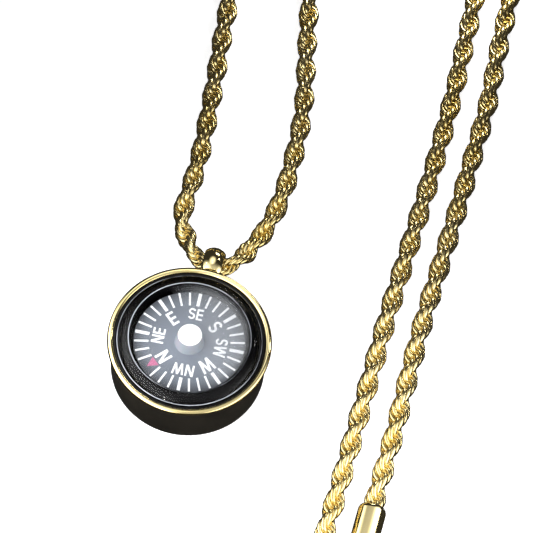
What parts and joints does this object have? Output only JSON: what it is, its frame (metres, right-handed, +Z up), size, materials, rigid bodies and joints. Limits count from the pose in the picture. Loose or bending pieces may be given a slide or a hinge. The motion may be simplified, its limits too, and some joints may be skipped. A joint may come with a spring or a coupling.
{
  "type": "compass pendant",
  "caption": "Round compass pendant with a domed crystal and a bail, on a closed rope chain that lies doubled, with barrel end caps and a plain link as its clasp.",
  "frame": {"origin": "centre of the case's flat back, on the surface it lies on", "axes": "+Z up out of the crystal, +Y towards the far end of the chain, +X to the right"},
  "size_m": [0.0551, 0.1711, 0.0104],
  "materials": {
    "gold": "polished gold plating",
    "chain_gold": "polished gold plating",
    "cap_gold": "polished gold plating",
    "black_band": "glossy black enamel",
    "capsule_black": "glossy black",
    "crystal_clear": "clear and polished",
    "pin_steel": "bright steel",
    "card_grey": "satin dark grey",
    "white_print": "white print",
    "red_print": "red print",
    "hub_pale": "pale translucent plastic"
  },
  "bodies": {
    "pendant": {"case": "gold", "wall_band": "black_band", "capsule": "capsule_black", "crystal": "crystal_clear", "pivot": "pin_steel", "chain": "chain_gold", "end_cap_left": "cap_gold", "end_cap_right": "cap_gold", "clasp": "chain_gold"},
    "compass_card": {"card": "card_grey", "dial_marks": "white_print", "north_mark": "red_print", "hub": "hub_pale"}
  },
  "joints": [
    {"name": "card_spin", "type": "hinge", "parent": "pendant", "child": "compass_card", "pos_m": [0, 0, 0.0075], "axis": [0, 0, 1], "continuous": true}
  ]
}
